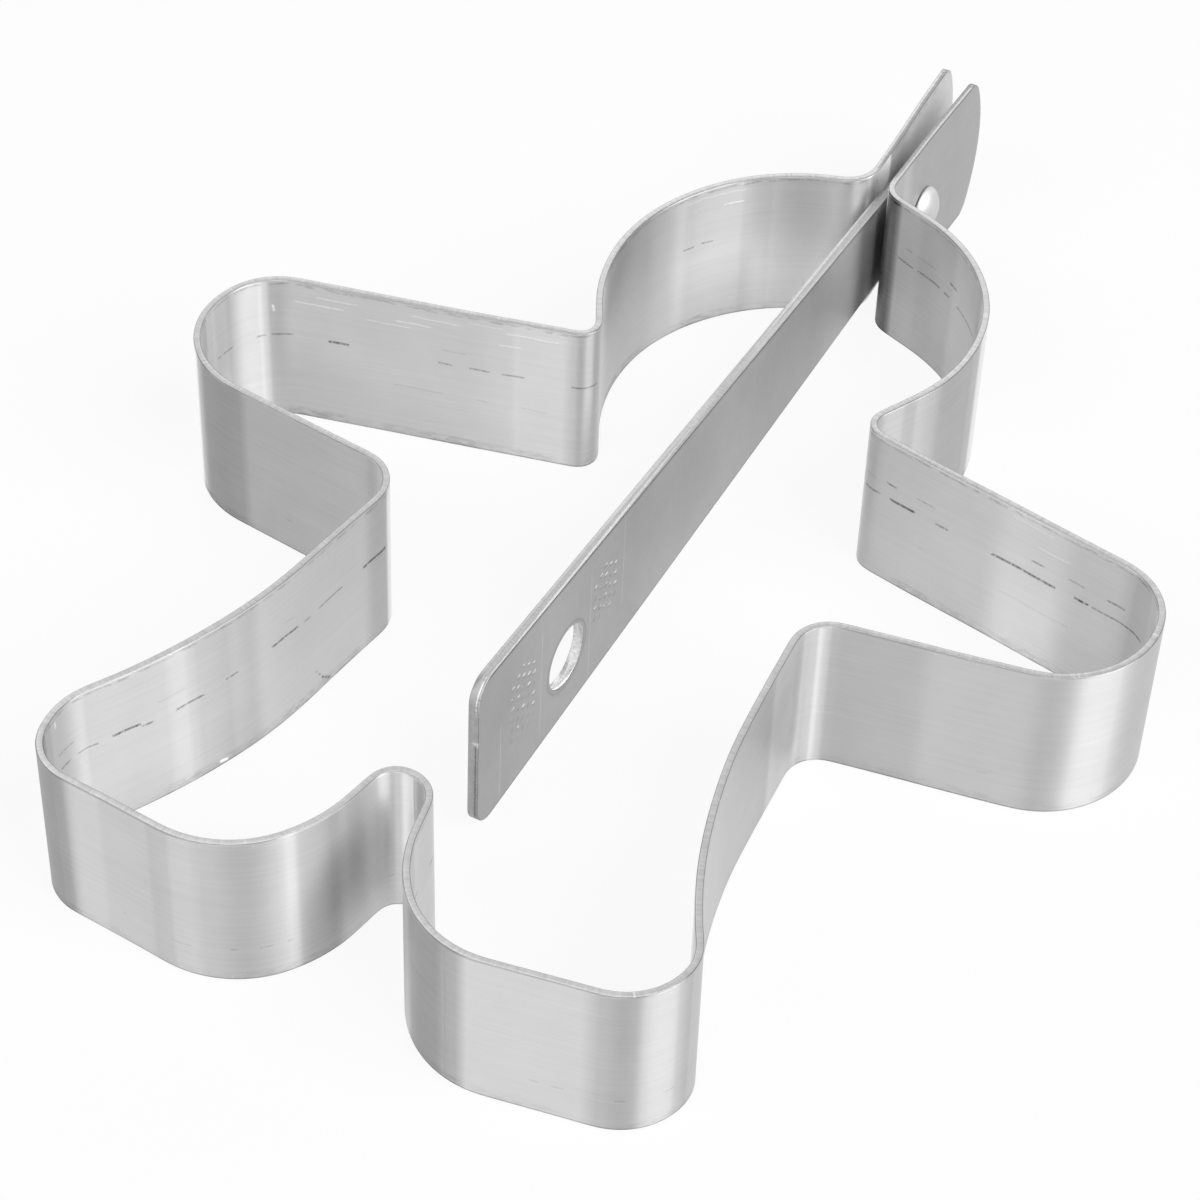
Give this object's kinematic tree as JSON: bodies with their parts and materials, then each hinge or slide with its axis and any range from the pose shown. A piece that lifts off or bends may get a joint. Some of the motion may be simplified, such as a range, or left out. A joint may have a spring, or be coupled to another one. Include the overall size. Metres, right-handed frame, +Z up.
{
  "type": "egg ring",
  "caption": "Egg ring bent from stainless strip to a gingerbread-figure outline, with a tapered flat lift handle that folds down inside it, riveted between the strip's end tabs.",
  "frame": {"origin": "middle of the ring's footprint, on the surface that the ring stands on", "axes": "+Y from the feet to the head, +Z up out of the surface, +X to the side of the figure's arm that is nearer the camera in the picture"},
  "size_m": [0.1131, 0.1537, 0.0223],
  "materials": {
    "ring_steel": "satin, fine lines along the strip",
    "handle_steel": "satin, sheared edges",
    "rivet_steel": "polished dome"
  },
  "bodies": {
    "ring": {"ring_strip": "ring_steel", "pivot_rivet": "rivet_steel"},
    "handle": {"lift_handle": "handle_steel"}
  },
  "joints": [
    {"name": "handle_hinge", "type": "hinge", "parent": "ring", "child": "handle", "pos_m": [-0.0001, 0.0609, 0.01], "axis": [-1, 0, 0], "range_deg": [-0.8, 178.6]}
  ]
}
